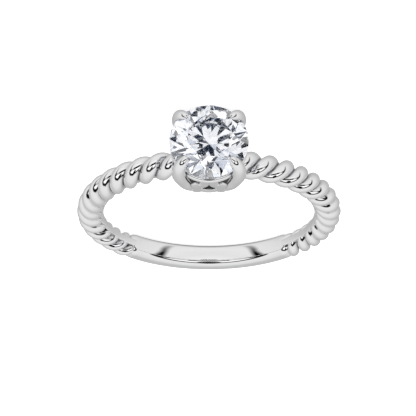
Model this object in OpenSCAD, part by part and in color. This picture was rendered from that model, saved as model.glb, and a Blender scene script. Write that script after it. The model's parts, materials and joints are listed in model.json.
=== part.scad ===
// Solitaire engagement ring with twisted rope shoulders, lying on its side.
// Sizes are in millimetres. Each sub-part is drawn upright: the finger's axis
// runs along Y, the stone is on top at +Z and its front faces -Y.
// laid_down() then turns the whole ring onto its side, where it rests.

/* [Finger size] */
// Inside diameter of the band
bore_d = 17.3; // [16.9:0.1:17.6]

/* [Rope shoulders] */
// Distance from the finger's axis to the rope's crests under the head
rope_reach_head = 11.21; // [11.15:0.01:11.3]
// Distance from the finger's axis to the rope's crests beside the shank
rope_reach_end = 10.52; // [10.45:0.01:10.6]
// Radius of the rope over its crests under the head
rope_r_head = 1.16; // [1.1:0.01:1.2]
// Radius of the rope over its crests beside the shank
rope_r_end = 0.97; // [0.93:0.01:1]
// Depth of the crease between the two strands
crease_depth = 0.49; // [0.3:0.01:0.55]
// Angle between neighbouring ridges under the head
ridge_step_head = 9.57; // [9.1:0.01:10]
// Angle between neighbouring ridges beside the shank
ridge_step_end = 7.84; // [7.5:0.01:8.5]
// Angle from the stone to a ridge that points straight outwards
ridge_at = 61.7; // [60:0.1:63]
// Angle from the stone to the top end of the rope
rope_start = 4; // [3:0.5:6]
// Angle from the stone to the lower end of the rope
rope_end = 140; // [138:0.5:142]

/* [Plain shank] */
// Distance from the finger's axis to the outside of the shank
shank_reach = 10.08; // [9.95:0.01:10.2]
// Width of the shank along the finger
shank_w = 1.9; // [1.8:0.01:2]
// Radius of the shank's rounded edges on the outside
shank_edge = 0.5; // [0.4:0.01:0.55]
// Radius of the shank's rounded rims on the finger's side
shank_rim = 0.42; // [0.3:0.01:0.42]
// Angle from the bottom of the band to where the shank's ends start to round
shank_half_angle = 42; // [40:0.5:43]
// Width of the smooth inner wall behind the rope
liner_w = 0.56; // [0.5:0.01:0.64]
// Distance from the finger's axis to the back of the inner wall
liner_reach = 9.4; // [9.2:0.01:9.5]

/* [Stone] */
// Diameter of the stone at its girdle
stone_d = 6.28; // [6:0.01:6.5]
// Height of the middle of the girdle over the finger's axis
girdle_z = 14; // [13.9:0.01:14.1]
// Width of the table as a share of the diameter
table_share = 0.57; // [0.53:0.01:0.6]
// Height of the crown as a share of the diameter
crown_share = 0.15; // [0.14:0.005:0.16]
// Depth of the pavilion as a share of the diameter
pavilion_share = 0.43; // [0.42:0.005:0.44]
// Thickness of the girdle at the points of the kites
girdle_t = 0.2; // [0.18:0.01:0.25]
// Turn of the stone about its own axis
stone_turn = 17; // [0:1:44]
// Gap between the stone and the metal that holds it
seat_gap = 0.04; // [0.03:0.01:0.06]

/* [Head] */
// Radius of the gallery rail, to the middle of its wire
rail_ring_r = 2.74; // [2.7:0.01:2.78]
// Radius of the gallery rail's wire
rail_wire_r = 0.34; // [0.3:0.01:0.36]
// Height of the gallery rail over the finger's axis
rail_z = 12.95; // [12.9:0.01:13]
// Outside radius of the base ring
base_ring_r = 2.45; // [2.4:0.01:2.5]
// Thickness of the base ring's wall
base_wall = 0.36; // [0.3:0.01:0.4]
// Height of the base ring
base_h = 0.6; // [0.5:0.01:0.7]
// Distance from the finger's axis to the underside of the base ring
base_z = 9.6; // [9.5:0.01:9.65]
// Radius of the hole through the floor of the basket
base_hole_r = 1.5; // [1.3:0.05:1.8]
// Thickness of the floor of the basket
base_t = 0.2; // [0.16:0.01:0.26]
// Thickness of the struts
strut_t = 0.4; // [0.34:0.01:0.44]

/* [Hidden] */
$fn = 96;

bore_r = bore_d / 2;
metal_colour = [0.80, 0.80, 0.81];
stone_colour = [0.90, 0.93, 0.98];

// The rope
strand_count = 2;
rings_per_ridge = 8;
rope_sides = strand_count * rings_per_ridge;
crest_roundness = 0.72;
end_round = 3.5;
end_closing = 0.92;
bore_clearance = 0.03;
ridge_slope = (ridge_step_end - ridge_step_head) / (rope_end - rope_start);

// The band, where blanks reach inside the hole before it is bored
edge_steps = 4;
blank_inside = 0.5;

// The stone
stone_r = stone_d / 2;
kite_count = 8;
half_kite = 180 / kite_count;
table_r = stone_r * table_share;
star_share = 0.5;
lower_half_share = 0.78;
girdle_steps = 4;

// The head, with one row for each station up a prong:
// angle from the front, distance from the stone's axis, height, half width, half thickness
prong_rows = [
    [40,   1.30,  9.45, 0.36, 0.28],
    [40,   1.72,  9.28, 0.46, 0.38],
    [40,   2.16,  9.50, 0.58, 0.45],
    [40,   2.62, 10.40, 0.68, 0.48],
    [41,   2.96, 11.20, 0.73, 0.49],
    [43,   3.18, 12.00, 0.66, 0.52],
    [45,   3.34, 12.90, 0.62, 0.55],
    [46,   3.23, 13.85, 0.54, 0.54],
    [45.5, 2.93, 14.45, 0.45, 0.45],
    [45,   2.57, 14.77, 0.30, 0.30],
    [45,   2.43, 14.86, 0.13, 0.13]
];
prong_steps = 2;
prong_sides = 12;
prong_side = [cos(45), sin(45), 0];

// One row for each station up a strut: side, forward, height, half width
strut_rows = [
    [0.93, 2.22,  9.66, 0.49],
    [0.98, 2.38, 10.45, 0.53],
    [0.90, 2.54, 11.20, 0.68],
    [0.60, 2.61, 11.60, 0.66],
    [0.38, 2.68, 11.95, 0.44],
    [0.33, 2.76, 12.80, 0.38]
];
strut_steps = 2;
strut_sides = 10;

function lerp(a, b, f) = a + (b - a) * f;
function unit(v) = v / norm(v);

// Point at fraction f of stretch i on a smooth curve through the rows
function on_curve(rows, i, f) =
    let (
        last = len(rows) - 1,
        b = rows[i],
        c = rows[min(i + 1, last)],
        a = i > 0 ? rows[i - 1] : 2 * b - c,
        d = i + 2 <= last ? rows[i + 2] : 2 * c - b
    )
    0.5 * (2 * b + (c - a) * f + (2 * a - 5 * b + 4 * c - d) * f * f
        + (3 * b - 3 * c + d - a) * f * f * f);

function smooth_rows(rows, steps) = [
    for (i = [0 : len(rows) - 2], k = [0 : steps - 1]) on_curve(rows, i, k / steps),
    rows[len(rows) - 1]
];

// Closed skin through a list of rings that all have the same number of points
module skin(rings) {
    n = len(rings[0]);
    last = len(rings) - 1;
    points = [for (ring = rings) each ring];
    sides = [
        for (j = [0 : last - 1], i = [0 : n - 1])
            let (a = j * n + i, b = j * n + (i + 1) % n)
            each [[a, b, b + n], [a, b + n, a + n]]
    ];
    polyhedron(points, concat(sides, [
        [for (i = [n - 1 : -1 : 0]) i],
        [for (i = [0 : n - 1]) last * n + i]
    ]));
}

// Rings of an oval wire along a path: for each point half its width, towards the
// reference, and half its thickness
function wire_rings(path, halves, reference, sides) = [
    for (i = [0 : len(path) - 1])
        let (
            ahead = path[min(i + 1, len(path) - 1)],
            behind = path[max(i - 1, 0)],
            t = unit(ahead - behind),
            u = unit(reference - (reference * t) * t),
            v = cross(t, u)
        )
        [for (k = [0 : sides - 1])
            let (angle = -360 * k / sides)
            path[i] + halves[i][0] * cos(angle) * u + halves[i][1] * sin(angle) * v]
];

// Twist of the rope, counted in ridges from its top end to angle t
function ridge_step(t) = ridge_step_head + ridge_slope * (t - rope_start);
function ridges_to(t) = ln(ridge_step(t) / ridge_step_head) / ridge_slope;
function angle_after(ridges) =
    rope_start + ridge_step_head * (exp(ridges * ridge_slope) - 1) / ridge_slope;

// Share of the full section that is left near the rope's rounded ends
function end_share(t) =
    let (
        near = min(t - rope_start, rope_end - t) / end_round,
        f = max(0, 1 - near)
    )
    sqrt(1 - end_closing * f * f);

// Height of the strand's surface, where x runs from -1 to 1 across a strand
function strand_drop(x) =
    (1 - sqrt(1 - pow(crest_roundness * x, 2))) / (1 - sqrt(1 - pow(crest_roundness, 2)));

// Point on the rope's skin at angle t from the stone and angle s round the rope
function rope_point(t, s) =
    let (
        f = (t - rope_start) / (rope_end - rope_start),
        crest = lerp(rope_r_head, rope_r_end, f),
        middle = lerp(rope_reach_head, rope_reach_end, f) - crest,
        crest_angle = -180 * (ridges_to(t) - ridges_to(ridge_at)),
        turn = (s - crest_angle) * strand_count / 360,
        x = 2 * (turn - round(turn)),
        r = (crest - crease_depth * strand_drop(x)) * end_share(t),
        reach = max(middle + r * cos(s), bore_r + bore_clearance)
    )
    [reach * sin(t), -r * sin(s), reach * cos(t)];

module rope_shoulder() {
    total = ridges_to(rope_end);
    first_side = 180 * ridges_to(ridge_at);
    skin([
        for (j = [0 : floor(total * rings_per_ridge)])
            let (t = angle_after(j / rings_per_ridge))
            [for (i = [0 : rope_sides - 1]) rope_point(t, first_side - 360 * i / rope_sides)]
    ]);
}

// Quarter round of an outline: middle, radius, first angle
function quarter(x, y, r, first) = [
    for (i = [0 : edge_steps])
        let (angle = first + 90 * i / edge_steps)
        [x + r * cos(angle), y + r * sin(angle)]
];

// Outline of the shank: reach from the finger's axis and place along it
module shank_outline() {
    outer = shank_reach - shank_edge;
    inner = bore_r + shank_rim;
    w = shank_w / 2;
    polygon(concat(
        quarter(outer, w - shank_edge, shank_edge, 0),
        quarter(inner, w - shank_rim, shank_rim, 90),
        [[bore_r - blank_inside, w - shank_rim], [bore_r - blank_inside, shank_rim - w]],
        quarter(inner, shank_rim - w, shank_rim, 180),
        quarter(outer, shank_edge - w, shank_edge, 270)
    ));
}

// Slice of the band that the shank fills: a wedge with two half-round ends
module shank_span() {
    far = shank_reach / cos(shank_half_angle) + 1;
    rotate([90, 0, 0]) linear_extrude(height = 2 * shank_w, center = true)
        polygon([
            [0, 0],
            [-far * sin(shank_half_angle), -far * cos(shank_half_angle)],
            [far * sin(shank_half_angle), -far * cos(shank_half_angle)]
        ]);
    for (side = [-1, 1])
        rotate([0, 180 - side * shank_half_angle, 0]) cylinder(r = shank_w / 2, h = far);
}

module plain_shank() {
    intersection() {
        rotate([90, 0, 0]) rotate_extrude() shank_outline();
        shank_span();
    }
}

module finger_liner() {
    rotate([90, 0, 0]) rotate_extrude()
        translate([bore_r - blank_inside, -liner_w / 2])
            square([liner_reach - bore_r + blank_inside, liner_w]);
}

module band_core() {
    difference() {
        union() {
            plain_shank();
            finger_liner();
        }
        rotate([90, 0, 0]) cylinder(r = bore_r, h = 4 * shank_w, center = true);
    }
}

module wire_ring(ring_r, wire_r, z) {
    translate([0, 0, z]) rotate_extrude() translate([ring_r, 0]) circle(r = wire_r, $fn = 32);
}

module base_ring() {
    translate([0, 0, base_z]) rotate_extrude()
        translate([base_ring_r - base_wall, 0]) square([base_wall, base_h]);
}

// Floor of the basket, inside the base ring
module basket_floor() {
    translate([0, 0, base_z]) rotate_extrude()
        translate([base_hole_r, 0]) square([base_ring_r - base_wall / 2 - base_hole_r, base_t]);
}

module prong() {
    rows = smooth_rows(prong_rows, prong_steps);
    path = [for (row = rows) [row[1] * sin(row[0]), -row[1] * cos(row[0]), row[2]]];
    halves = [for (row = rows) [row[3], row[4]]];
    skin(wire_rings(path, halves, prong_side, prong_sides));
}

module strut() {
    rows = smooth_rows(strut_rows, strut_steps);
    path = [for (row = rows) [row[0], -row[1], row[2]]];
    halves = [for (row = rows) [row[3], strut_t / 2]];
    skin(wire_rings(path, halves, [1, 0, 0], strut_sides));
}

// Both mirror images of a piece, at the front and at the back of the head
module four_times() {
    for (turn = [0, 180])
        rotate([0, 0, turn]) {
            children();
            mirror([1, 0, 0]) children();
        }
}

// Heights and radii of the stone's corners
girdle_top = girdle_z + girdle_t / 2;
girdle_low = girdle_z - girdle_t / 2;
table_z = girdle_top + stone_d * crown_share;
culet_z = girdle_low - stone_d * pavilion_share;
star_r = lerp(table_r * cos(half_kite), stone_r, star_share);
star_z = table_z - (table_z - girdle_top) * (star_r * cos(half_kite) - table_r) / (stone_r - table_r);
lower_r = stone_r * (1 - lower_half_share);
lower_z = culet_z + (girdle_low - culet_z) * lower_r * cos(half_kite) / stone_r;

// The ring rests on the stone's girdle and on the lower rim of the shank
head_foot_r = girdle_low;
shank_foot_r = shank_reach - shank_edge;
rest_tilt = atan((stone_r - shank_w / 2) / (head_foot_r + shank_foot_r));
rest_lift = shank_w / 2 * cos(rest_tilt) + shank_foot_r * sin(rest_tilt);
table_corner = table_r * cos(min(stone_turn, 2 * half_kite - stone_turn));
head_end = table_z * cos(rest_tilt) + table_corner * sin(rest_tilt);
shank_end = shank_reach * cos(rest_tilt) + (shank_w / 2 - shank_edge) * sin(rest_tilt);
rest_back = (head_end - shank_end) / 2;

// Space that the prongs and the rail leave for the stone
module stone_seat() {
    g = seat_gap;
    rotate_extrude() polygon([
        [0, culet_z - g],
        [lower_r, lower_z - g],
        [stone_r + g, girdle_low - g],
        [stone_r + g, girdle_top + g],
        [star_r + g, star_z + g],
        [table_r + g, table_z + g],
        [0, table_z + g]
    ]);
}

// Height that the plane of a half facet gains at step i along the girdle's round edge,
// where the facet's inner corner lies at radius r and that much above the edge
function girdle_gain(i, r, rise) =
    let (q = half_kite / 2)
    rise * stone_r * (cos(q * (2 * i / girdle_steps - 1)) - cos(q)) / ((r - stone_r) * cos(q));

// Round brilliant: table, 8 stars, 8 kites, 16 upper halves, 16 lower halves, 8 mains
module brilliant() {
    n = kite_count;
    m = girdle_steps;
    around = 2 * n * m;
    function corner(r, z, k) = [r * sin(2 * half_kite * k), -r * cos(2 * half_kite * k), z];
    points = concat(
        [for (k = [0 : n - 1]) corner(table_r, table_z, k)],
        [for (k = [0 : n - 1]) corner(star_r, star_z, k + 0.5)],
        [for (j = [0 : around - 1]) corner(
            stone_r, girdle_top + girdle_gain(j % m, star_r, star_z - girdle_top), j * n / around)],
        [for (j = [0 : around - 1]) corner(
            stone_r, girdle_low + girdle_gain(j % m, lower_r, lower_z - girdle_low), j * n / around)],
        [for (k = [0 : n - 1]) corner(lower_r, lower_z, k + 0.5)],
        [[0, 0, culet_z]]
    );
    star = n;
    upper = 2 * n;
    under = upper + around;
    lower = under + around;
    culet = lower + n;
    faces = concat(
        [[for (k = [n - 1 : -1 : 0]) k]],
        [for (k = [0 : n - 1]) [k, (k + 1) % n, star + k]],
        [for (k = [0 : n - 1]) [k, star + k, upper + 2 * m * k, star + (k + n - 1) % n]],
        [for (h = [0 : 2 * n - 1])
            [star + floor(h / 2), for (i = [m : -1 : 0]) upper + (m * h + i) % around]],
        [for (j = [0 : around - 1]) let (q = (j + 1) % around)
            [upper + j, upper + q, under + q, under + j]],
        [for (h = [0 : 2 * n - 1])
            [lower + floor(h / 2), for (i = [0 : m]) under + (m * h + i) % around]],
        [for (k = [0 : n - 1]) [culet, lower + (k + n - 1) % n, under + 2 * m * k, lower + k]]
    );
    polyhedron(points, faces);
}

// From upright to lying on its side
module laid_down() {
    translate([0, rest_back, rest_lift])
        rotate([rest_tilt - 90, 0, 180])
            children();
}

module ring_mount() {
    color(metal_colour) laid_down() {
        band_core();
        for (turn = [0, 180]) rotate([0, 0, turn]) rope_shoulder();
        base_ring();
        basket_floor();
        difference() {
            union() {
                four_times() prong();
                four_times() strut();
                wire_ring(rail_ring_r, rail_wire_r, rail_z);
            }
            stone_seat();
        }
    }
}

module centre_stone() {
    color(stone_colour) laid_down() rotate([0, 0, stone_turn]) brilliant();
}

ring_mount();
centre_stone();
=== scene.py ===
# Solitaire engagement ring with rope shoulders, lying on its side under soft studio light.
# The ring is modelled upright in millimetres: the finger runs along Y, the stone is on top
# and the front faces -Y. Each finished piece is then laid on its side, where the frame has it.
import json
import math
import bmesh
import bpy
from mathutils import Matrix, Vector


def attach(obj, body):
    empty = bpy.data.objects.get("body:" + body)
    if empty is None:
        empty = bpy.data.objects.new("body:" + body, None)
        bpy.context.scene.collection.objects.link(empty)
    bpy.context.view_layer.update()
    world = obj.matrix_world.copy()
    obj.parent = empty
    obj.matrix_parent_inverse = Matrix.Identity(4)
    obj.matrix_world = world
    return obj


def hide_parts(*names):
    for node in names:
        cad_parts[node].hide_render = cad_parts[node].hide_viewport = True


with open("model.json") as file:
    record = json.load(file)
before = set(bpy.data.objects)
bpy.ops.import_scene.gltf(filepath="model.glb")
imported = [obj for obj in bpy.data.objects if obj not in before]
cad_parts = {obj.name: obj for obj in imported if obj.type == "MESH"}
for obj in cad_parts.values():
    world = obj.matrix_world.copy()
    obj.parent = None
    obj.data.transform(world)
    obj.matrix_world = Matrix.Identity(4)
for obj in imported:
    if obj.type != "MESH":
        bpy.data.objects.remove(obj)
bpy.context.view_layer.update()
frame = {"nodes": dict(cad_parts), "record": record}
print("frame loaded")

mm = 0.001
fingerBore = frame["record"]["mounts"][0]
boreMiddle = Vector(fingerBore["pos_m"])
boreR = fingerBore["dims"]["r_mm"]
fingerAxis = Vector(fingerBore["axis"]).normalized()
# where the upright ring's X, Y and Z point once it lies on its side
layDown = Matrix((
    (-1, 0, 0),
    (0, -fingerAxis.y, -fingerAxis.z),
    (0, -fingerAxis.z, fingerAxis.y),
))


def lie(x, y, z):
    # a point of the upright ring, in millimetres, as a place in the frame
    return boreMiddle + layDown @ Vector((x, y, z)) * mm


# colours and nodes; a Mix node takes its factor at input 0, two numbers at 2 and 3 and two
# colours at 6 and 7
def linear(hexColour):
    # sRGB hex to the linear values that the shaders take, with an alpha of 1
    parts = [int(hexColour[i:i + 2], 16) / 255 for i in (0, 2, 4)]
    return tuple(c / 12.92 if c <= 0.04045 else ((c + 0.055) / 1.055) ** 2.4 for c in parts) + (1,)


def addNode(tree, kind, feeds=None, **settings):
    # one node with its settings; feeds are sockets to link or values to set, by input name or number
    node = tree.nodes.new(kind)
    for name, value in settings.items():
        setattr(node, name, value)
    for name, feed in (feeds or {}).items():
        if isinstance(feed, bpy.types.NodeSocket):
            tree.links.new(feed, node.inputs[name])
        else:
            node.inputs[name].default_value = feed
    return node


def newMaterial(name):
    material = bpy.data.materials.new(name)
    material.use_nodes = True
    material.node_tree.nodes.clear()
    return material, material.node_tree


def fillRamp(ramp, stops):
    elements = ramp.color_ramp.elements
    while len(elements) < len(stops):
        elements.new(0.5)
    for element, (at, colour) in zip(elements, stops):
        element.position = at
        element.color = colour


# White gold: cast, mirror polished and rhodium plated, so nearly neutral and very bright.
# What is left of the buffing is a faint haze in drifts and hairlines along the polish.
# Painted shade darkens the creases wherever other metal is close, and the basket under the
# stone is painted a dull dark grey as shade, with a rougher finish.
whiteGold = {
    "colour": "F4F4F5",
    # painted shade: the colour of the metal deep in the creases
    "creaseShadeColour": "949497",
    "creaseReach": 0.6,    # mm, how far off other metal paints shade into a crease
    "creaseShares": (0.3, 0.85),   # share of open sky at which it is darkest, and fully bright
    "creaseSamples": 8,
    "roughness": (0.03, 0.075),    # between the drifts of haze, and in them
    "hazeSize": 0.9,       # mm, one drift of haze
    "hazeLevels": (0.35, 0.7),     # of the noise, where a drift starts and is full
    "hazeDetail": 4,
    "hairlineSize": 0.06,  # mm, drawn about five times coarser than real so that it shows
    "hairlineStretch": 0.15,       # its scale along Y, the way it runs, against that across it
    "hairlineDetail": 2,
    "hairlineDepth": 0.0004,       # mm
    "hairlineStrength": 0.12,
    # painted shade: the dull dark grey of the basket under the stone
    "basketShadeColour": "6A6A6D",
    "basketRoughness": 0.5,
    "basketShadeWithin": 2.5,     # mm from the stone's axis, for a face that looks up
    "basketShadeInward": 0.75,    # mm more for a face that looks at the axis, and less for its back
    "basketShadeHeights": (9.62, 12.7),   # mm from the finger's axis
    "basketShadeEdge": 0.1,       # mm over which the painted shade fades out
}


def aboutStone(tree):
    # mm from the stone's axis, mm up from the finger's axis, and how far a face looks away from
    # the stone's axis, from 1 for straight away to -1 for straight at it
    source = addNode(tree, "ShaderNodeTexCoord")
    turn = layDown.transposed()
    upright = addNode(tree, "ShaderNodeMapping", {
        "Vector": source.outputs["Object"], "Rotation": turn.to_euler(), "Location": -(turn @ boreMiddle)})
    inMm = addNode(tree, "ShaderNodeVectorMath", {
        0: upright.outputs["Vector"], "Scale": 1 / mm}, operation="SCALE")
    flat = addNode(tree, "ShaderNodeVectorMath", {
        0: inMm.outputs["Vector"], 1: (1, 1, 0)}, operation="MULTIPLY")
    away = addNode(tree, "ShaderNodeVectorMath", {0: flat.outputs["Vector"]}, operation="LENGTH")
    height = addNode(tree, "ShaderNodeSeparateXYZ", {"Vector": inMm.outputs["Vector"]})
    outwards = addNode(tree, "ShaderNodeVectorMath", {0: flat.outputs["Vector"]}, operation="NORMALIZE")
    looks = addNode(tree, "ShaderNodeMapping", {
        "Vector": source.outputs["Normal"], "Rotation": turn.to_euler()}, vector_type="VECTOR")
    facing = addNode(tree, "ShaderNodeVectorMath", {
        0: outwards.outputs["Vector"], 1: looks.outputs["Vector"]}, operation="DOT_PRODUCT")
    return away.outputs["Value"], height.outputs["Z"], facing.outputs["Value"]


def makeWhiteGold(s):
    material, tree = newMaterial("polished_white_gold")
    place = addNode(tree, "ShaderNodeTexCoord").outputs["Object"]
    haze = addNode(tree, "ShaderNodeTexNoise", {
        "Vector": place, "Scale": 1 / (s["hazeSize"] * mm), "Detail": s["hazeDetail"]})
    clear, hazy = s["roughness"]
    drift = addNode(tree, "ShaderNodeMapRange", {
        "Value": haze.outputs["Fac"], "From Min": s["hazeLevels"][0], "From Max": s["hazeLevels"][1],
        "To Min": clear, "To Max": hazy})
    stretch = addNode(tree, "ShaderNodeMapping", {
        "Vector": place, "Scale": (1, s["hairlineStretch"], 1)})
    lines = addNode(tree, "ShaderNodeTexNoise", {
        "Vector": stretch.outputs["Vector"], "Scale": 1 / (s["hairlineSize"] * mm),
        "Detail": s["hairlineDetail"]})
    bump = addNode(tree, "ShaderNodeBump", {
        "Height": lines.outputs["Fac"], "Strength": s["hairlineStrength"],
        "Distance": s["hairlineDepth"] * mm})
    # painted shade: an occlusion test darkens the creases towards the crease colour; polished is 1 away
    # from them and 0 where the painted shade is full
    sky = addNode(tree, "ShaderNodeAmbientOcclusion", {
        "Distance": s["creaseReach"] * mm}, samples=s["creaseSamples"])
    polished = addNode(tree, "ShaderNodeMapRange", {
        "Value": sky.outputs["AO"], "From Min": s["creaseShares"][0], "From Max": s["creaseShares"][1]})
    colour = addNode(tree, "ShaderNodeMix", {
        0: polished.outputs["Result"], 6: linear(s["creaseShadeColour"]),
        7: linear(s["colour"])}, data_type="RGBA")
    # painted shade: cast is 1 in the basket under the stone, which is painted dark grey there and made
    # rougher
    away, height, facing = aboutStone(tree)
    depth = addNode(tree, "ShaderNodeMath", {
        0: facing, 1: s["basketShadeInward"], 2: away}, operation="MULTIPLY_ADD")
    within = addNode(tree, "ShaderNodeMapRange", {
        "Value": depth.outputs["Value"], "From Min": s["basketShadeWithin"] - s["basketShadeEdge"],
        "From Max": s["basketShadeWithin"], "To Min": 1, "To Max": 0})
    low, high = s["basketShadeHeights"]
    level = addNode(tree, "ShaderNodeMath", {
        0: height, 1: (low + high) / 2, 2: (high - low) / 2}, operation="COMPARE")
    cast = addNode(tree, "ShaderNodeMath", {
        0: within.outputs["Result"], 1: level.outputs["Value"]}, operation="MULTIPLY").outputs["Value"]
    colour = addNode(tree, "ShaderNodeMix", {
        0: cast, 6: colour.outputs[2], 7: linear(s["basketShadeColour"])}, data_type="RGBA")
    roughness = addNode(tree, "ShaderNodeMix", {0: cast, 2: drift.outputs["Result"], 3: s["basketRoughness"]})
    metal = addNode(tree, "ShaderNodeBsdfPrincipled", {
        "Base Color": colour.outputs[2], "Metallic": 1.0,
        "Roughness": roughness.outputs[0], "Normal": bump.outputs["Normal"]})
    addNode(tree, "ShaderNodeOutputMaterial", {"Surface": metal.outputs["BSDF"]})
    return material


# Diamond: cut and polished, with a ground girdle that stays slightly frosted.
diamond = {
    "colour": "FBFCFF",
    "ior": 2.417,
    "girdleEdge": (0.03, 0.02),    # mm inside the girdle, where the frost starts and is full
    "girdleFrost": 0.22,   # roughness
}


def makeDiamond(s, girdleR):
    material, tree = newMaterial("cut_diamond")
    away, _, _ = aboutStone(tree)
    starts, full = s["girdleEdge"]
    frost = addNode(tree, "ShaderNodeMapRange", {
        "Value": away, "From Min": girdleR - starts, "From Max": girdleR - full,
        "To Min": 0.0, "To Max": s["girdleFrost"]})
    gem = addNode(tree, "ShaderNodeBsdfPrincipled", {
        "Base Color": linear(s["colour"]), "Transmission Weight": 1.0, "IOR": s["ior"],
        "Roughness": frost.outputs["Result"]})
    addNode(tree, "ShaderNodeOutputMaterial", {"Surface": gem.outputs["BSDF"]})
    return material


# modelling helpers
cornerSteps = 5            # faces round a strip's rounded corner
smoothUnder = 35           # degrees, edges sharper than this stay crisp


def selectOnly(*chosen):
    # an operator acts on all that is selected; the first of these becomes the active one
    bpy.ops.object.select_all(action="DESELECT")
    for piece in chosen:
        piece.select_set(True)
    bpy.context.view_layer.objects.active = chosen[0]


def closeSkin(seam=0.0005):
    # weld the seam, in mm, cap what is open and turn the faces outwards
    bpy.ops.object.mode_set(mode="EDIT")
    bpy.ops.mesh.select_all(action="SELECT")
    bpy.ops.mesh.remove_doubles(threshold=seam)
    bpy.ops.mesh.select_all(action="DESELECT")
    bpy.ops.mesh.select_non_manifold()
    bpy.ops.mesh.fill_holes(sides=0)
    bpy.ops.mesh.select_all(action="SELECT")
    bpy.ops.mesh.normals_make_consistent(inside=False)
    bpy.ops.object.mode_set(mode="OBJECT")


def layPiece(piece):
    # smooth shading with crisp creases, then onto its side and down to real size
    selectOnly(piece)
    bpy.ops.object.transform_apply(location=True, rotation=True, scale=True)
    bpy.ops.object.shade_smooth_by_angle(angle=math.radians(smoothUnder))
    piece.data.transform(Matrix.Translation(boreMiddle) @ (layDown * mm).to_4x4())
    piece.data.update()


def mix(a, b, f):
    return a + (b - a) * f


def smoothRows(rows, steps):
    # more rows, on a smooth curve through the given ones
    rows = [Vector(row) for row in rows]
    found = []
    for i in range(len(rows) - 1):
        b, c = rows[i], rows[i + 1]
        a = rows[i - 1] if i else 2 * b - c
        d = rows[i + 2] if i + 2 < len(rows) else 2 * c - b
        for k in range(steps):
            f = k / steps
            found.append(0.5 * (2 * b + (c - a) * f + (2 * a - 5 * b + 4 * c - d) * f * f
                                + (3 * b - 3 * c + d - a) * f ** 3))
    return found + [rows[-1]]


def sweepWire(name, path, halves, towards, sides):
    # a disc extruded from station to station, turned and scaled as it goes
    frames = []
    for i, point in enumerate(path):
        along = (path[min(i + 1, len(path) - 1)] - path[max(i - 1, 0)]).normalized()
        across = (towards - towards.dot(along) * along).normalized()
        up = along.cross(across)
        place = Matrix((across * halves[i][0], up * halves[i][1], along)).transposed().to_4x4()
        place.translation = point
        frames.append(place)
    bpy.ops.object.select_all(action="DESELECT")
    bpy.ops.mesh.primitive_circle_add(vertices=sides, radius=1, fill_type="NGON")
    piece = bpy.context.object
    piece.name = name
    bpy.ops.object.mode_set(mode="EDIT")
    last = Matrix.Identity(4)
    for i, place in enumerate(frames):
        if i:
            bpy.ops.mesh.extrude_region_move()
        shape = bmesh.from_edit_mesh(piece.data)
        ring = [v for v in shape.verts if v.select]
        bmesh.ops.transform(shape, matrix=place @ last.inverted(), verts=ring)
        bmesh.update_edit_mesh(piece.data)
        last = place
    bpy.ops.object.mode_set(mode="OBJECT")
    closeSkin()
    return piece


def fourCopies(piece):
    # the piece, its mirror image and both turned half round the stone, each with its own mesh,
    # joined into one object
    copies = [piece]
    for turn, flip in ((0, -1), (180, 1), (180, -1)):
        copy = piece.copy()
        copy.data = piece.data.copy()
        bpy.context.collection.objects.link(copy)
        turned = Matrix.Rotation(math.radians(turn), 4, "Z")
        copy.data.transform(turned @ Matrix.Diagonal((flip, 1, 1, 1)))
        if flip < 0:
            copy.data.flip_normals()
        copies.append(copy)
    selectOnly(*copies)
    bpy.ops.object.join()
    return bpy.context.object


def spunStrip(name, middle, size, edge, steps, angle, axis):
    # a flat section with rounded corners, spun about an axis through the origin; a section for
    # the Z axis is stood up first, so its height is the third size
    bpy.ops.object.select_all(action="DESELECT")
    bpy.ops.mesh.primitive_plane_add(size=1, location=middle)
    piece = bpy.context.object
    piece.name = name
    bpy.ops.object.mode_set(mode="EDIT")
    if axis[2]:
        bpy.ops.transform.rotate(value=math.pi / 2, orient_axis="X", center_override=middle)
    bpy.ops.transform.resize(value=size, center_override=middle)
    bpy.ops.mesh.bevel(offset=edge, segments=cornerSteps, affect="VERTICES")
    bpy.ops.mesh.delete(type="ONLY_FACE")
    bpy.ops.mesh.select_all(action="SELECT")
    bpy.ops.mesh.spin(steps=steps, angle=angle, center=(0, 0, 0), axis=axis)
    bpy.ops.object.mode_set(mode="OBJECT")
    bpy.ops.object.transform_apply(location=True, rotation=True, scale=True)
    closeSkin()
    return piece


# The rope shoulders: one twist of two strands on each side, thinner towards the shank
rope = {
    "reachHead": 11.21,    # finger's axis to the crests, under the head
    "reachEnd": 10.52,
    "crestHead": 1.16,     # radius over the crests
    "crestEnd": 0.97,
    "crease": 0.49,        # depth
    "roundness": 0.72,     # of a strand, up to 1 for a half circle
    "stepHead": 9.57,      # degrees between ridges
    "stepEnd": 7.84,
    "ridgeAt": 61.7,       # a ridge that points straight outwards
    "start": 4,            # degrees from the stone
    "end": 140,
    "endRound": 3.5,       # degrees over which each end closes
    "endClosing": 0.92,    # 1 would close it to a point
    "clearance": 0.03,     # kept from the finger's hole
    "landRound": 0.08,     # how softly the crests flatten there
    "strands": 2,
    "sides": 64,
    "ringsPerRidge": 30,
}


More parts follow.
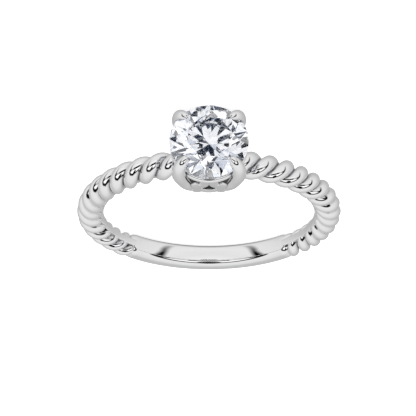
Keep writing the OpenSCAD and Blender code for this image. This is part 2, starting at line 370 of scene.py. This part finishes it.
def ropeShoulder(name, s):
    slope = (s["stepEnd"] - s["stepHead"]) / (s["end"] - s["start"])

    def ridgesTo(t):
        # how many ridges lie between the start and t degrees, as their steps grow shorter
        return math.log((s["stepHead"] + slope * (t - s["start"])) / s["stepHead"]) / slope

    total = ridgesTo(s["end"])
    topRound = 1 - math.sqrt(1 - s["roundness"] ** 2)
    bpy.ops.object.select_all(action="DESELECT")
    bpy.ops.mesh.primitive_grid_add(x_subdivisions=s["sides"], size=1,
                                    y_subdivisions=int(total * s["ringsPerRidge"]))
    piece = bpy.context.object
    piece.name = name
    for v in piece.data.vertices:
        around, along = v.co.x + 0.5, v.co.y + 0.5
        t = s["start"] + s["stepHead"] * (math.exp(along * total * slope) - 1) / slope
        share = (t - s["start"]) / (s["end"] - s["start"])
        crest = mix(s["crestHead"], s["crestEnd"], share)
        middle = mix(s["reachHead"], s["reachEnd"], share) - crest
        side = 2 * math.pi * around - math.pi * (along * total - ridgesTo(s["ridgeAt"]))
        turn = around * s["strands"]
        across = 2 * (turn - round(turn))          # -1 to 1 over one strand
        drop = (1 - math.sqrt(1 - (s["roundness"] * across) ** 2)) / topRound
        near = max(0, 1 - min(t - s["start"], s["end"] - t) / s["endRound"])
        r = (crest - s["crease"] * drop) * math.sqrt(1 - s["endClosing"] * near * near)
        reach = middle + r * math.cos(side)
        # the inner crests flatten softly before they reach the finger's hole
        land = boreR + s["clearance"]
        reach = (reach + land + math.hypot(reach - land, s["landRound"])) / 2
        angle = math.radians(t)
        v.co = (reach * math.sin(angle), -r * math.sin(side), reach * math.cos(angle))
    closeSkin()
    return piece


# The finger liner: the smooth inner wall that the finger touches
liner = {
    "width": 0.56,
    "reach": 9.4,          # finger's axis to its outside
    "edge": 0.12,          # rounding of its corners
    "halfAngle": 136,      # degrees from the stone, so that its ends lie flush in the shank
    "steps": 256,
}


def fingerLiner(name, s):
    middle = ((boreR + s["reach"]) / 2, 0, 0)
    size = (s["reach"] - boreR, s["width"], 1)
    angle = 2 * math.radians(s["halfAngle"])
    piece = spunStrip(name, middle, size, s["edge"], s["steps"], angle, (0, 1, 0))
    # the spin starts at the side, so the liner is turned until its middle is at the stone
    places = [v.co for v in piece.data.vertices]
    middle = sum(places, Vector()) / len(places)
    piece.data.transform(Matrix.Rotation(-math.atan2(middle.x, middle.z), 4, "Y"))
    return piece


# The plain shank: a polished strip with half-round ends across the bottom of the band
shank = {
    "width": 1.9,
    "reach": 10.08,        # finger's axis to its outside
    "halfAngle": 42,       # degrees from the bottom to where the ends start to round
    "straight": 0.86,      # share of the stations that lies between the half-round ends
    "outerEdge": 0.5,      # rounding of its outer corners
    "innerRim": 0.42,      # rounding of its corners at the finger
    "innerDome": 0.14,     # how far the wall's rims drop behind its middle
    "domePower": 2.5,      # more keeps the wall's middle flatter
    "sectionPoints": 96,
    "stations": 260,
}


def plainShank(name, s):
    # each row of a grid becomes one closed section across the strip
    half = s["width"] / 2
    thick = s["reach"] - boreR
    bpy.ops.object.select_all(action="DESELECT")
    bpy.ops.mesh.primitive_grid_add(x_subdivisions=s["sectionPoints"], size=2,
                                    y_subdivisions=s["stations"])
    piece = bpy.context.object
    piece.name = name
    straight, rim, outer = s["straight"], s["innerRim"], s["outerEdge"]
    for v in piece.data.vertices:
        section, station = v.co.x * math.pi, v.co.y
        # 0 along the straight part, and up to 1 at the tip of each half-round end
        past = math.sin(math.pi / 2 * max(0, abs(station) - straight) / (1 - straight))
        across = half * math.sqrt(max(0, 1 - past * past)) * math.sin(section)
        inset = half - math.hypot(past * half, across)      # distance from the strip's outline
        if math.cos(section) > 0:                           # outside, else the wall
            short = max(0, 1 - inset / outer)
            z = thick - outer * (1 - math.sqrt(max(0, 1 - short * short)))
        else:
            short = max(0, 1 - inset / rim)
            dome = s["innerDome"] * (1 - inset / half) ** s["domePower"]
            z = rim * (1 - math.sqrt(max(0, 1 - short * short))) + dome
        reach = boreR + z
        along = math.radians(s["halfAngle"]) * min(1, abs(station) / straight)
        angle = math.copysign(along + math.asin(past * half / reach), station)
        v.co = (reach * math.sin(angle), across, -reach * math.cos(angle))
    closeSkin()
    return piece


# The claw prongs: a wire swept through a row for each station up it, and three copies
prong = {
    # degrees from the front, distance from the stone's axis, height, half width, half thickness
    "rows": [
        (40, 1.30, 9.45, 0.36, 0.28),
        (40, 1.72, 9.28, 0.46, 0.38),
        (40, 2.16, 9.50, 0.58, 0.45),
        (40, 2.62, 10.40, 0.68, 0.48),
        (41, 2.96, 11.20, 0.73, 0.49),
        (43, 3.18, 12.00, 0.66, 0.52),
        (45, 3.34, 12.90, 0.62, 0.55),
        (46, 3.23, 13.85, 0.54, 0.54),
        (45.5, 2.93, 14.45, 0.45, 0.45),
        (45, 2.57, 14.77, 0.30, 0.30),
        (45, 2.44, 14.86, 0.17, 0.17),
        (45, 2.40, 14.885, 0.04, 0.04),
    ],
    "steps": 6,            # rings from one row to the next
    "sides": 32,
}


def clawProngs(name, s):
    rows = smoothRows(s["rows"], s["steps"])
    path = []
    for angle, away, height, *_ in rows:
        turn = math.radians(angle)
        path.append(Vector((away * math.sin(turn), -away * math.cos(turn), height)))
    halves = [(row[3], row[4]) for row in rows]
    piece = sweepWire(name, path, halves, Vector((1, 1, 0)), s["sides"])
    return fourCopies(piece)


# The struts: a narrow upside-down V from the base ring up to the rail, front and back
strut = {
    # to the side, to the front, height, half width
    "rows": [
        (0.93, 2.22, 9.66, 0.49),
        (0.98, 2.38, 10.45, 0.53),
        (0.90, 2.54, 11.20, 0.68),
        (0.60, 2.61, 11.60, 0.66),
        (0.38, 2.68, 11.95, 0.44),
        (0.33, 2.76, 12.80, 0.38),
    ],
    "thickness": 0.4,
    "steps": 8,
    "sides": 28,
}


def galleryStruts(name, s):
    rows = smoothRows(s["rows"], s["steps"])
    path = [Vector((row[0], -row[1], row[2])) for row in rows]
    halves = [(row[3], s["thickness"] / 2) for row in rows]
    piece = sweepWire(name, path, halves, Vector((1, 0, 0)), s["sides"])
    return fourCopies(piece)


# The gallery rail: a round wire just under the stone
rail = {
    "radius": 2.74,        # to the middle of its wire
    "wireR": 0.34,
    "height": 12.95,
    "steps": 144,
    "sides": 24,
}


def galleryRail(name, s):
    bpy.ops.object.select_all(action="DESELECT")
    bpy.ops.mesh.primitive_torus_add(
        major_radius=s["radius"], minor_radius=s["wireR"], location=(0, 0, s["height"]),
        major_segments=s["steps"], minor_segments=s["sides"])
    piece = bpy.context.object
    piece.name = name
    bpy.ops.object.transform_apply(location=True, rotation=True, scale=True)
    return piece


# The base ring: a flat band between the feet of the prongs
base = {
    "outer": 2.45,         # radius
    "wall": 0.36,
    "height": 0.6,
    "low": 9.6,            # finger's axis to its underside
    "edge": 0.05,          # rounding of its corners, and of the basket's floor
    "steps": 144,
}

# The floor of the basket: a flat ring that ends in the middle of the base ring's wall
plate = {
    "hole": 1.5,           # radius
    "thickness": 0.2,
}


def flatRing(name, inner, outer, height, s):
    # a band that stands on the base ring's underside
    middle = ((inner + outer) / 2, 0, s["low"] + height / 2)
    size = (outer - inner, 1, height)
    return spunStrip(name, middle, size, s["edge"], s["steps"], 2 * math.pi, (0, 0, 1))


def baseRing(name, s):
    return flatRing(name, s["outer"] - s["wall"], s["outer"], s["height"], s)


def basketFloor(name, s, wallRing):
    middle = wallRing["outer"] - wallRing["wall"] / 2
    return flatRing(name, s["hole"], middle, s["thickness"], wallRing)


# The stone's own corners, which its seat in the prongs and the rail follows
stone = {
    "girdleR": 3.14,
    "girdleTop": 14.1,     # this and the other heights from the finger's axis
    "girdleLow": 13.9,
    "culet": 11.2,
    "tableR": 1.79,
    "tableZ": 15.04,
    "starR": 2.4,
    "starZ": 14.78,
    "gap": 0.04,
    "seatSides": 128,
    "seatTip": 0.01,       # radius at the culet
}


def stoneSeat(s):
    # the stone's outline with its gap, widened ring by ring from the culet up
    g = s["gap"]
    outline = [
        (s["girdleR"] + g, s["girdleLow"] - g),
        (s["girdleR"] + g, s["girdleTop"] + g),
        (s["starR"] + g, s["starZ"] + g),
        (s["tableR"] + g, s["tableZ"] + g),
    ]
    bpy.ops.object.select_all(action="DESELECT")
    lastR, lastZ = s["seatTip"], s["culet"] - g
    bpy.ops.mesh.primitive_circle_add(vertices=s["seatSides"], radius=lastR, fill_type="NGON",
                                      location=(0, 0, lastZ))
    piece = bpy.context.object
    bpy.ops.object.transform_apply(location=True, rotation=True, scale=True)
    bpy.ops.object.mode_set(mode="EDIT")
    for r, z in outline:
        bpy.ops.mesh.extrude_region_move(TRANSFORM_OT_translate={"value": (0, 0, z - lastZ)})
        bpy.ops.transform.resize(value=(r / lastR, r / lastR, 1), center_override=(0, 0, z))
        lastR, lastZ = r, z
    bpy.ops.object.mode_set(mode="OBJECT")
    closeSkin(seam=0.0001)
    return piece


def cutSeat(piece, seat):
    selectOnly(piece)
    bpy.ops.object.modifier_add(type="BOOLEAN")
    cut = piece.modifiers[-1]
    cut.operation = "DIFFERENCE"
    cut.object = seat
    cut.solver = "EXACT"
    bpy.ops.object.modifier_apply(modifier=cut.name)
    return piece


metal = makeWhiteGold(whiteGold)
gem = makeDiamond(diamond, stone["girdleR"])
print("materials made")

rightRope = ropeShoulder("rope_shoulder_right", rope)
leftRope = ropeShoulder("rope_shoulder_left", rope)
leftRope.data.transform(Matrix.Rotation(math.pi, 4, "Z"))
pieces = [rightRope, leftRope]
print("rope shoulders made")
pieces += [fingerLiner("finger_liner", liner), plainShank("plain_shank", shank)]
print("liner and shank made")
seat = stoneSeat(stone)
pieces += [
    cutSeat(clawProngs("claw_prongs", prong), seat),
    cutSeat(galleryRail("gallery_rail", rail), seat),
    baseRing("base_ring", base),
    basketFloor("basket_floor", plate, base),
    galleryStruts("gallery_struts", strut),
]
bpy.data.objects.remove(seat)
print("head made")

for piece in pieces:
    layPiece(piece)
    piece.data.materials.clear()
    piece.data.materials.append(metal)
    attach(piece, "root")
    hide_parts("ring_mount")

stoneNode = frame["nodes"]["centre_stone"]
stoneNode.data.materials.clear()
stoneNode.data.materials.append(gem)
print("pieces laid down")

# The light table that the ring lies on, pale and evenly lit from inside
lightTable = {
    "size": 3.0,           # m
    "colour": "F4F4F3",
    "glow": 0.8,           # brightness of its own
    "roughness": 0.7,
    "shine": 0.1,          # specular level
}


def makeFloor(s):
    bpy.ops.object.select_all(action="DESELECT")
    bpy.ops.mesh.primitive_plane_add(size=s["size"])
    floor = bpy.context.object
    floor.name = "floor"
    material, tree = newMaterial("opal_light_table")
    board = addNode(tree, "ShaderNodeBsdfPrincipled", {
        "Base Color": linear(s["colour"]), "Roughness": s["roughness"],
        "Specular IOR Level": s["shine"],
        "Emission Color": (1, 1, 1, 1), "Emission Strength": s["glow"]})
    addNode(tree, "ShaderNodeOutputMaterial", {"Surface": board.outputs["BSDF"]})
    floor.data.materials.append(material)
    floor.visible_glossy = False
    floor.visible_transmission = False


# The soft surround, charted in degrees right and up of the lens, as the ring sees them.
# One large soft light with a dark rim hangs round the lens: it reaches furthest up, past the
# stone. A dark bar, the lens and its arm, crosses it, and a dark stand is under the bar.
# Polished crests show them as small sharp marks.
lamp = {
    # degrees from the lens, and brightness
    "around": [
        (0, 1),
        (30, 0.98),
        (47, 0.84),
        (60, 0.88),
        (90, 0.8),
        (120, 0.6),
        (150, 0.5),
        (180, 0.45),
    ],
    "middle": 7,           # degrees above the lens
    "half": 57,            # degrees, sideways
    "down": 42,            # degrees from its middle
    "up": 88,
    "rimHalf": (7, 4),     # degrees, at the bottom and at the top
    "rimSoft": (0.35, 1),  # share of its half width over which its edges are soft, bottom and top
    "rimThins": (14, 40),  # degrees up between which it changes from one to the other
    "rimFade": (38, 75),   # degrees up between which it fades away
    "glow": 1.25,          # brightness under the bar, against the rest
    "barAt": 5,            # degrees above the lens
    "barHalf": 9,
    "barThin": (31, 10),   # degrees sideways where the bar is paler, and half that stretch
    "barThinness": 0.5,    # share of its darkness that it loses there
    "standAt": -28,        # degrees above the lens, to the stand's middle
    "standHalf": (11, 18),         # degrees, sideways and up
    "dark": "05070B",
}


def chartLamp(tree, place, s, lens):
    # colour of the soft light, its dark rim, its bar and its stand in each direction
    chart = {}
    for name, axis in (("flatRight", lens.col[0]), ("flatUp", lens.col[1]), ("facing", lens.col[2])):
        dot = addNode(tree, "ShaderNodeVectorMath", {0: place, 1: axis}, operation="DOT_PRODUCT")
        chart[name] = dot.outputs["Value"]

    def work(steps):
        # each step: its name, the sum, and what goes in, by name or as a number
        for name, operation, *feeds in steps:
            values = {i: chart.get(feed, feed) for i, feed in enumerate(feeds)}
            chart[name] = addNode(tree, "ShaderNodeMath", values, operation=operation).outputs["Value"]

    work((
        ("turn", "ARCCOSINE", "facing"),
        ("away", "MULTIPLY", "turn", 180 / math.pi),
        ("flatRightSquare", "POWER", "flatRight", 2),
        ("flatUpSquare", "POWER", "flatUp", 2),
        ("flatSquare", "ADD", "flatRightSquare", "flatUpSquare"),
        ("flat", "SQRT", "flatSquare"),
        ("flatSafe", "MAXIMUM", "flat", 0.001),        # so that nothing is divided by 0
        ("scale", "DIVIDE", "away", "flatSafe"),
        ("right", "MULTIPLY", "flatRight", "scale"),
        ("up", "MULTIPLY", "flatUp", "scale"),
        ("height", "SUBTRACT", "up", s["middle"]),
        ("below", "LESS_THAN", "height", 0),
        ("shorter", "MULTIPLY", "below", s["up"] - s["down"]),
        ("reach", "SUBTRACT", s["up"], "shorter"),
        ("across", "DIVIDE", "right", s["half"]),
        ("along", "DIVIDE", "height", "reach"),
        ("acrossSquare", "MULTIPLY", "across", "across"),
        ("alongSquare", "MULTIPLY", "along", "along"),
        ("eggSquare", "ADD", "acrossSquare", "alongSquare"),
        ("egg", "SQRT", "eggSquare"),                  # 1 on the lamp's rim, less inside
        ("inside", "LESS_THAN", "egg", 1),
        ("rightSquare", "MULTIPLY", "right", "right"),
        ("heightSquare", "MULTIPLY", "height", "height"),
        ("lengthSquare", "ADD", "rightSquare", "heightSquare"),
        ("length", "SQRT", "lengthSquare"),
        ("toRim", "DIVIDE", "length", "egg"),
        ("fromRim", "SUBTRACT", "length", "toRim"),
        ("rimGap", "ABSOLUTE", "fromRim"),             # degrees from the rim's middle
        ("level", "COMPARE", "up", s["barAt"], s["barHalf"]),
        ("sideways", "ABSOLUTE", "right"),
        ("thin", "COMPARE", "sideways", *s["barThin"]),
        ("thinned", "MULTIPLY", "thin", s["barThinness"]),
        ("strong", "SUBTRACT", 1, "thinned"),
        ("barInside", "MULTIPLY", "level", "inside"),
        ("bar", "MULTIPLY", "barInside", "strong"),
        ("fromStand", "SUBTRACT", "up", s["standAt"]),
        ("standAcross", "DIVIDE", "right", s["standHalf"][0]),
        ("standAlong", "DIVIDE", "fromStand", s["standHalf"][1]),
        ("standAcrossSquare", "MULTIPLY", "standAcross", "standAcross"),
        ("standAlongSquare", "MULTIPLY", "standAlong", "standAlong"),
        ("standSquare", "ADD", "standAcrossSquare", "standAlongSquare"),
        ("stand", "LESS_THAN", "standSquare", 1),
        ("barAndStand", "MAXIMUM", "bar", "stand"),
        ("under", "LESS_THAN", "up", s["barAt"]),
        ("lowInside", "MULTIPLY", "under", "inside"),
        ("extra", "MULTIPLY", "lowInside", s["glow"] - 1),
        ("glow", "ADD", "extra", 1),
        ("share", "DIVIDE", "away", 180),
    ))
    # the rim grows thinner and paler above the bar, and its edges are soft
    spans = (
        ("rimHalf", "up", s["rimThins"], s["rimHalf"]),
        ("rimSoft", "up", s["rimThins"], s["rimSoft"]),
        ("rimShare", "up", s["rimFade"], (1, 0)),
    )
    for name, feed, (low, high), (first, last) in spans:
        chart[name] = addNode(tree, "ShaderNodeMapRange", {
            "Value": chart[feed], "From Min": low, "From Max": high,
            "To Min": first, "To Max": last}).outputs["Result"]
    work((
        ("rimPlace", "DIVIDE", "rimGap", "rimHalf"),
        ("softFrom", "SUBTRACT", 1, "rimSoft"),
        ("softTo", "ADD", 1, "rimSoft"),
    ))
    rim = addNode(tree, "ShaderNodeMapRange", {
        "Value": chart["rimPlace"], "From Min": chart["softFrom"], "From Max": chart["softTo"],
        "To Min": 1, "To Max": 0}, interpolation_type="SMOOTHSTEP")
    chart["rim"] = rim.outputs["Result"]
    work((("fadedRim", "MULTIPLY", "rim", "rimShare"), ("dark", "MAXIMUM", "fadedRim", "barAndStand")))
    around = addNode(tree, "ShaderNodeValToRGB", {"Fac": chart["share"]})
    fillRamp(around, [(degrees / 180, (grey, grey, grey, 1)) for degrees, grey in s["around"]])
    lit = addNode(tree, "ShaderNodeVectorMath", {
        0: around.outputs["Color"], "Scale": chart["glow"]}, operation="SCALE")
    colour = addNode(tree, "ShaderNodeMix", {
        0: chart["dark"], 6: lit.outputs["Vector"], 7: linear(s["dark"])}, data_type="RGBA")
    return colour.outputs[2]


# The stone is the only perfectly sharp surface and has a surround of its own: white cards,
# grey cards and dark gaps, which its facets break up into flashes.
cards = {
    "scale": 2.3,          # cards to the radian
    "place": (3.2, 5.4, 7.6),      # shifts the cards, for other flashes
    # share of the cards from which each colour starts
    "colours": [
        (0, "05070D"),
        (0.08, "1A2232"),
        (0.16, "4C5870"),
        (0.27, "8490A6"),
        (0.34, "D9DEE8"),
        (0.46, "FFFFFF"),
    ],
    "glow": 1.2,           # brightness of a white card
}


def hangCards(tree, place, s):
    # one flat colour to a card, picked by the card's own random number
    moved = addNode(tree, "ShaderNodeVectorMath", {0: place, 1: s["place"]}, operation="ADD")
    card = addNode(tree, "ShaderNodeTexVoronoi", {
        "Vector": moved.outputs["Vector"], "Scale": s["scale"]})
    pick = addNode(tree, "ShaderNodeSeparateColor", {"Color": card.outputs["Color"]})
    colours = addNode(tree, "ShaderNodeValToRGB", {"Fac": pick.outputs["Red"]})
    colours.color_ramp.interpolation = "CONSTANT"
    fillRamp(colours, [(share, linear(colour)) for share, colour in s["colours"]])
    return colours.outputs["Color"]


def makeSurround(forMetal, forStone, lens):
    world = bpy.data.worlds.new("studio")
    world.use_nodes = True
    bpy.context.scene.world = world
    tree = world.node_tree
    tree.nodes.clear()
    place = addNode(tree, "ShaderNodeTexCoord").outputs["Generated"]
    soft = addNode(tree, "ShaderNodeBackground", {"Color": chartLamp(tree, place, forMetal, lens)})
    carded = addNode(tree, "ShaderNodeBackground", {
        "Color": hangCards(tree, place, forStone), "Strength": forStone["glow"]})
    plain = addNode(tree, "ShaderNodeBackground", {"Color": (1, 1, 1, 1)})
    ray = addNode(tree, "ShaderNodeLightPath")
    byStone = addNode(tree, "ShaderNodeMath", {
        0: ray.outputs["Is Transmission Ray"], 1: ray.outputs["Is Singular Ray"]}, operation="MAXIMUM")
    seen = addNode(tree, "ShaderNodeMixShader", {
        0: byStone.outputs["Value"], 1: soft.outputs[0], 2: carded.outputs[0]})
    both = addNode(tree, "ShaderNodeMixShader", {
        0: ray.outputs["Is Camera Ray"], 1: seen.outputs[0], 2: plain.outputs[0]})
    addNode(tree, "ShaderNodeOutputWorld", {"Surface": both.outputs[0]})


# The camera looks at the ring as in the photograph: from the front, mostly down onto the stone.
# Lying on its side, the ring turns that view upside down, so the camera is rolled half round.
view = {
    "rise": 66.36,         # degrees between the sight line and the finger
    "away": 350,           # mm
    "lens": 371,           # mm
    "sensor": 36,          # mm
    "aim": (-0.08, 0, 0.99),       # mm, as a place in the upright ring
    "clip": (0.01, 20),    # m
}


def makeCamera(s):
    rise = math.radians(s["rise"])
    back = layDown @ Vector((0, -math.cos(rise), math.sin(rise)))
    up = layDown @ Vector((0, math.sin(rise), math.cos(rise)))
    data = bpy.data.cameras.new("camera")
    data.lens = s["lens"]
    data.sensor_width = s["sensor"]
    data.clip_start, data.clip_end = s["clip"]
    camera = bpy.data.objects.new("camera", data)
    bpy.context.collection.objects.link(camera)
    turned = Matrix((up.cross(back), up, back)).transposed()
    camera.matrix_world = Matrix.Translation(lie(*s["aim"]) + back * s["away"] * mm) @ turned.to_4x4()
    bpy.context.scene.camera = camera
    return turned


makeFloor(lightTable)
print("light table made")
lensTurn = makeCamera(view)
print("camera made")
makeSurround(lamp, cards, lensTurn)
print("surround made")

scene = bpy.context.scene
scene.view_settings.view_transform = "Standard"
# inside the stone a ray crosses many facets before it leaves
scene.cycles.max_bounces = 32
scene.cycles.transmission_bounces = 32
scene.cycles.glossy_bounces = 12
scene.cycles.transparent_max_bounces = 8
